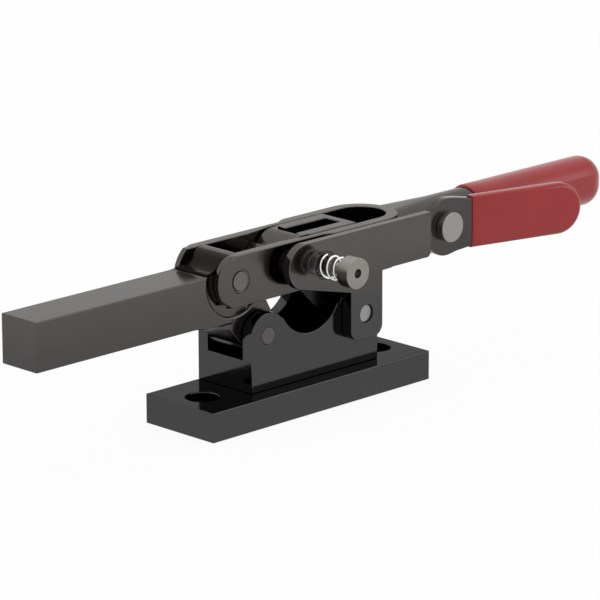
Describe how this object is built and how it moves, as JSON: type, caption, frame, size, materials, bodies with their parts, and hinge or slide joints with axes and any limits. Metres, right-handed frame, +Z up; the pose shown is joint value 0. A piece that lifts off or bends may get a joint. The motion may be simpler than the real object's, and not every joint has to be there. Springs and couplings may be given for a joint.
{
  "type": "toggle clamp",
  "caption": "Base-mounted toggle clamp with a square holding arm, forged handle frame, lock plunger and red-gripped handle and thumb lever.",
  "frame": {"origin": "centre of the base plate's underside", "axes": "+X toward the handle end, +Z up, +Y toward the side away from the plunger"},
  "size_m": [0.3436, 0.0561, 0.0746],
  "materials": {
    "black_oxide": "black oxide, semi-gloss",
    "forged_steel": "dark forged steel, satin",
    "pin_steel": "ground ends",
    "bushing_steel": "turned",
    "knob_steel": "turned",
    "spring_wire": "bright drawn wire",
    "red_vinyl": "dipped vinyl, semi-gloss"
  },
  "bodies": {
    "base": {"base_plate": "black_oxide", "base_body": "black_oxide", "base_screws": "black_oxide", "arm_pin": "pin_steel", "link_pin": "pin_steel"},
    "arm": {"arm": "forged_steel", "arm_bushing": "bushing_steel", "handle_bushing": "bushing_steel"},
    "handle": {"handle_frame": "forged_steel", "handle_pin": "pin_steel", "handle_grip": "red_vinyl", "lever_pin": "pin_steel", "lever_spacer": "bushing_steel"},
    "link": {"link": "forged_steel", "link_bushing": "bushing_steel", "hub_pin": "pin_steel", "hub_spacer": "bushing_steel", "side_plate": "forged_steel", "plunger_ring": "black_oxide", "plunger_spring": "spring_wire"},
    "plunger": {"plunger_stem": "knob_steel", "plunger_clip": "bushing_steel", "plunger_knob": "knob_steel"},
    "thumb": {"thumb_lever": "forged_steel", "lever_grip": "red_vinyl"}
  },
  "joints": [
    {"name": "arm_swing", "type": "hinge", "parent": "base", "child": "arm", "pos_m": [-0.0242, 0.0039, 0.0357], "axis": [0, 1, 0], "range_deg": [0, 40]},
    {"name": "handle_swing", "type": "hinge", "parent": "arm", "child": "handle", "pos_m": [-0.0374, 0.0039, 0.061], "axis": [0, 1, 0], "range_deg": [-61.2, 0]},
    {"name": "link_swing", "type": "hinge", "parent": "base", "child": "link", "pos_m": [0.0278, 0.0039, 0.0357], "axis": [0, 1, 0], "range_deg": [0, 28.6]},
    {"name": "plunger_push", "type": "slide", "parent": "link", "child": "plunger", "axis": [0, 1, 0], "range_m": [0, 0.0024], "stiffness_N_per_m": 400, "deforming": ["plunger_spring"]},
    {"name": "thumb_swing", "type": "hinge", "parent": "handle", "child": "thumb", "pos_m": [0.0823, -0.01, 0.0624], "axis": [0, 1, 0], "range_deg": [-8, 8]}
  ],
  "couplings": [
    {"joint": "handle_swing", "follows": "arm_swing", "ratio": -1.53},
    {"joint": "link_swing", "follows": "arm_swing", "ratio": 0.715}
  ]
}
